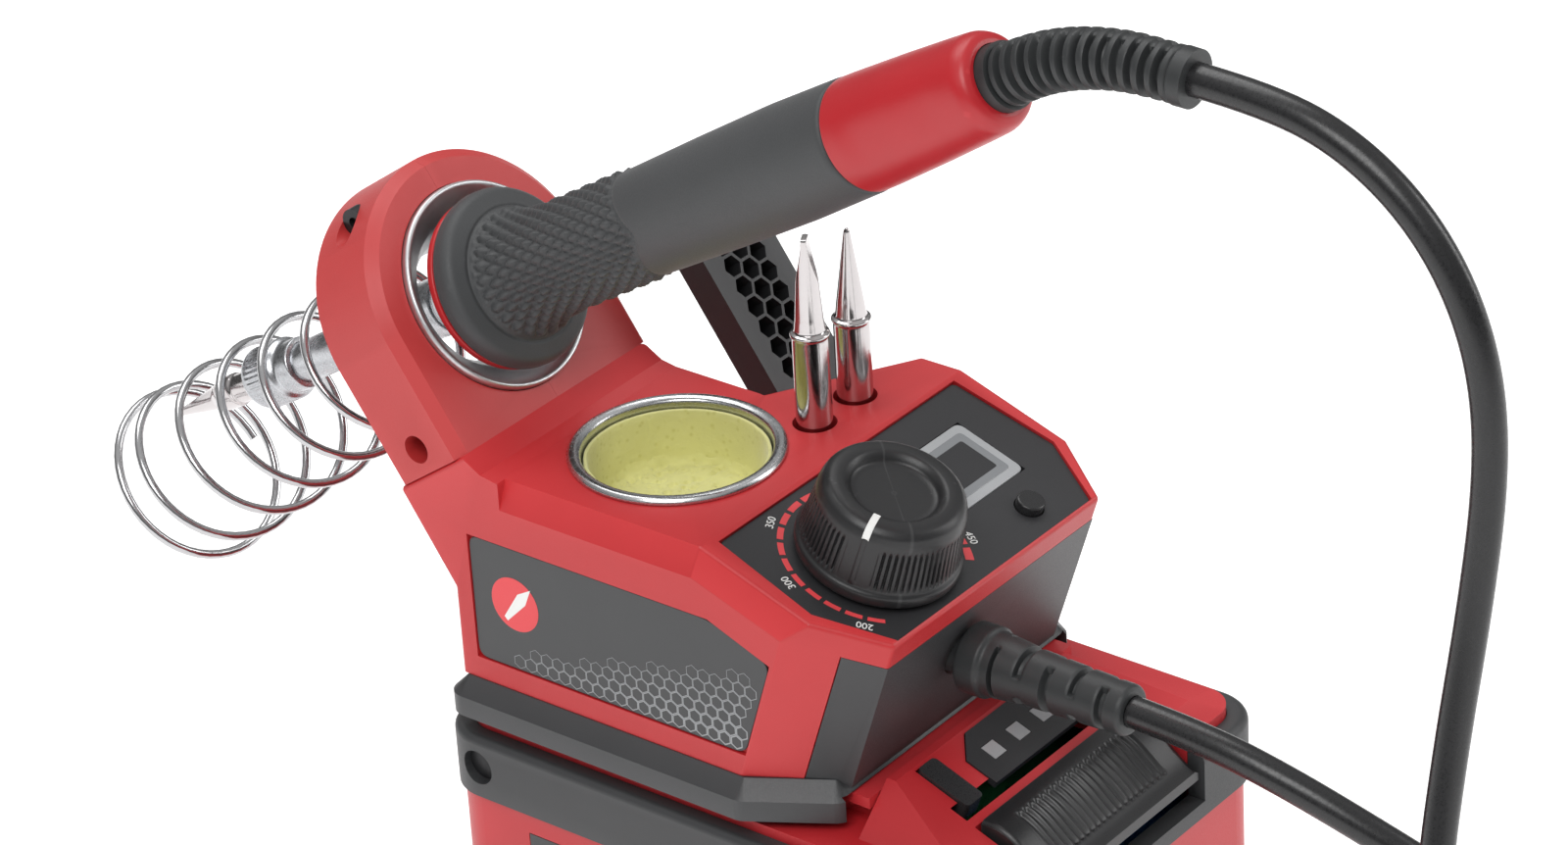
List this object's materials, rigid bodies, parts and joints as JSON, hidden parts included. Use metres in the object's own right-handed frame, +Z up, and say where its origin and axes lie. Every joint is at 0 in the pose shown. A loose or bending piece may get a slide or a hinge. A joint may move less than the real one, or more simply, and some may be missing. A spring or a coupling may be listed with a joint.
{
  "type": "soldering iron station",
  "caption": "Battery soldering station: tilted ring holder with spring rest, corded iron, temperature knob, sponge cup, spare tips, solder-reel arm and slide-on pack.",
  "frame": {"origin": "centre of the battery pack's bottom face, on the table", "axes": "+Z up; the knob, the cable outlet and the pack release face -Y; the iron holder is at +Y; the near side label faces -X"},
  "size_m": [0.0954, 0.3964, 0.2054],
  "materials": {
    "housing_red": "fine-grained moulded red",
    "head_red": "fine-grained moulded red",
    "sleeve_red": "satin moulded red",
    "ring_red": "satin moulded red",
    "pack_red": "fine-grained moulded red",
    "base_dark": "fine-grained moulded dark grey",
    "bumper_dark": "soft overmould",
    "label_grey": "printed satin film",
    "panel_dark": "matt printed panel",
    "display_window": "glossy display cover",
    "knob_black": "satin black",
    "mark_white": "painted mark",
    "button_black": "satin black",
    "tin_steel": "brushed, rolled rim",
    "sponge_yellow": "cellulose sponge, open pores",
    "tip_chrome": "polished plating",
    "bush_steel": "turned face",
    "spring_chrome": "bright drawn wire",
    "barrel_steel": "satin tube",
    "heater_ceramic": "white ceramic rod",
    "arm_black": "matt moulded black",
    "grip_rubber": "soft matt grip, textured near its front",
    "relief_rubber": "soft black",
    "cord_black": "smooth satin jacket",
    "latch_black": "ribbed satin black",
    "led_grey": "grey light windows",
    "inner_black": "plain",
    "inner_steel": "plain",
    "terminal_brass": "plated",
    "board_green": "solder mask",
    "screw_black": "blackened",
    "screw_steel": "zinc plated",
    "cell_blue": "shrink sleeve"
  },
  "bodies": {
    "station": {"housing_top": "housing_red", "base_shell": "base_dark", "base_rails": "inner_black", "battery_terminals": "terminal_brass", "side_label_near": "label_grey", "side_label_far": "label_grey", "control_panel": "panel_dark", "display_window": "display_window", "display_module": "inner_black", "potentiometer": "inner_steel", "circuit_board": "board_green", "head_left": "head_red", "head_right": "head_red", "head_screws": "screw_black", "holder_bush": "bush_steel", "holder_spring": "spring_chrome", "arm_pin": "inner_steel", "arm_bracket": "base_dark", "cable_gland": "relief_rubber", "cord_table": "cord_black", "cord_coil": "cord_black", "cord_station": "cord_black", "housing_screws": "screw_steel"},
    "knob": {"knob": "knob_black", "knob_pointer": "mark_white", "knob_shaft": "inner_steel"},
    "power_button": {"power_button": "button_black"},
    "iron": {"rubber_grip": "grip_rubber", "collar_ring": "ring_red", "handle_core": "inner_black", "handle_sleeve": "sleeve_red", "heater_barrel": "barrel_steel", "barrel_nut": "barrel_steel", "iron_tip": "tip_chrome", "heating_element": "heater_ceramic", "iron_relief": "relief_rubber", "cord_iron": "cord_black"},
    "chisel_tip": {"chisel_tip": "tip_chrome"},
    "conical_tip": {"conical_tip": "tip_chrome"},
    "tin": {"sponge_tin": "tin_steel"},
    "sponge": {"sponge": "sponge_yellow"},
    "reel_arm": {"reel_arm": "arm_black", "reel_peg": "arm_black"},
    "charge_button": {"charge_button": "button_black"},
    "latch_button": {"latch_button": "latch_black"},
    "battery": {"battery_case": "pack_red", "battery_label_near": "label_grey", "battery_label_far": "label_grey", "battery_bumper": "bumper_dark", "bumper_plugs": "screw_black", "battery_cover": "pack_red", "led_panel": "panel_dark", "charge_leds": "led_grey", "battery_cells": "cell_blue", "cell_holder": "inner_black", "battery_board": "board_green", "battery_contacts": "terminal_brass", "battery_screws": "screw_steel"}
  },
  "joints": [
    {"name": "knob_turn", "type": "hinge", "parent": "station", "child": "knob", "pos_m": [-0.0134, -0.01863, 0.09759], "axis": [0, -0.3254, 0.9456], "range_deg": [-241, 28.6]},
    {"name": "power_press", "type": "slide", "parent": "station", "child": "power_button", "axis": [0, 0.3254, -0.9456], "range_m": [0, 0.0005], "stiffness_N_per_m": 1500, "springref_m": -0.0005},
    {"name": "iron_lift", "type": "slide", "parent": "station", "child": "iron", "axis": [0, -0.8572, 0.515], "range_m": [0, 0.15]},
    {"name": "chisel_tip_lift", "type": "slide", "parent": "station", "child": "chisel_tip", "axis": [0, 0, 1], "range_m": [0, 0.03]},
    {"name": "conical_tip_lift", "type": "slide", "parent": "station", "child": "conical_tip", "axis": [0, 0, 1], "range_m": [0, 0.03]},
    {"name": "tin_lift", "type": "slide", "parent": "station", "child": "tin", "axis": [0, 0, 1], "range_m": [0, 0.012]},
    {"name": "sponge_lift", "type": "slide", "parent": "tin", "child": "sponge", "axis": [0, 0, 1], "range_m": [0, 0.015]},
    {"name": "reel_arm_fold", "type": "hinge", "parent": "station", "child": "reel_arm", "pos_m": [0.0284, 0.02516, 0.09013], "axis": [1, 0, 0], "range_deg": [-35, 40]},
    {"name": "pack_slide", "type": "slide", "parent": "station", "child": "battery", "axis": [0, -1, 0], "range_m": [0, 0.05]},
    {"name": "charge_press", "type": "slide", "parent": "battery", "child": "charge_button", "axis": [0, 0.3527, -0.9357], "range_m": [0, 0.001], "stiffness_N_per_m": 1000, "springref_m": -0.0005},
    {"name": "latch_press", "type": "slide", "parent": "battery", "child": "latch_button", "axis": [0, 0, -1], "range_m": [0, 0.004], "stiffness_N_per_m": 1200, "springref_m": -0.001}
  ]
}
